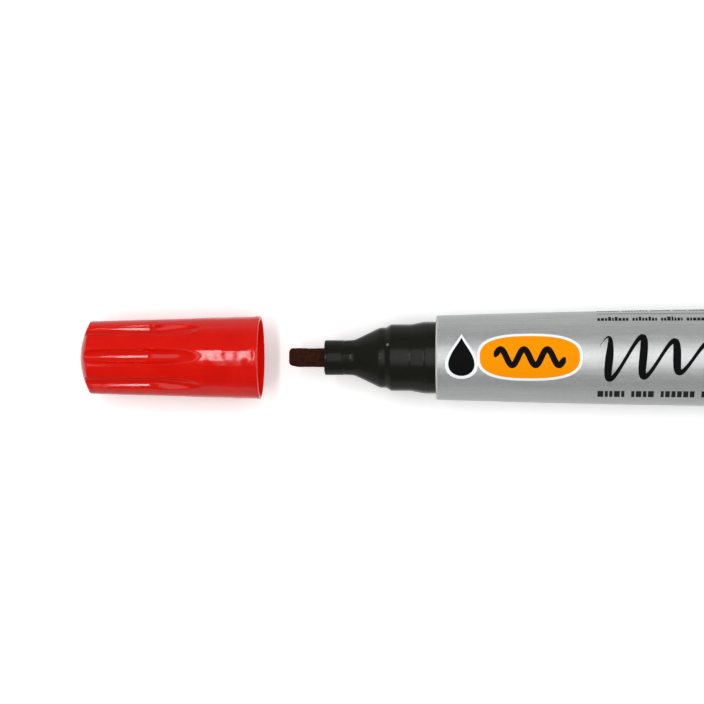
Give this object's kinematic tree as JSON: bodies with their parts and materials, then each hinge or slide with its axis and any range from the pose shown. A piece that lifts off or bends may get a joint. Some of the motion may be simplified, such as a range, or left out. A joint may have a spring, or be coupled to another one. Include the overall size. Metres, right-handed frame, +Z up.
{
  "type": "felt tip marker",
  "caption": "Felt tip marker with a tapered satin barrel, a stepped nose, a cylindrical nib and a fluted pull-off cap that slides along the axis.",
  "frame": {"origin": "centre of the tail plug's flat rear face, on the marker's axis", "axes": "+X along the axis from the nib to the tail, +Z up from the surface that the marker lies on, +Y to its left seen from the tail"},
  "size_m": [0.1707, 0.0178, 0.0178],
  "materials": {
    "silver_lacquer": "satin metallic silver lacquer on moulded plastic",
    "black_plastic": "moulded, semi-gloss",
    "red_plastic": "moulded, gloss",
    "inked_felt": "bonded polyester felt, wet with ink",
    "reservoir_fibre": "bundled polyester fibre soaked in ink",
    "clear_film": "thin clear film",
    "natural_plastic": "soft, uncoloured"
  },
  "bodies": {
    "marker": {"barrel": "silver_lacquer", "nose_section": "black_plastic", "nib": "inked_felt", "reservoir_core": "reservoir_fibre", "reservoir_wrap": "clear_film", "end_plug": "red_plastic"},
    "cap": {"cap_shell": "red_plastic", "inner_cap": "natural_plastic"}
  },
  "joints": [
    {"name": "cap_slide", "type": "slide", "parent": "marker", "child": "cap", "axis": [1, 0, 0], "range_m": [0, 0.0322]}
  ]
}
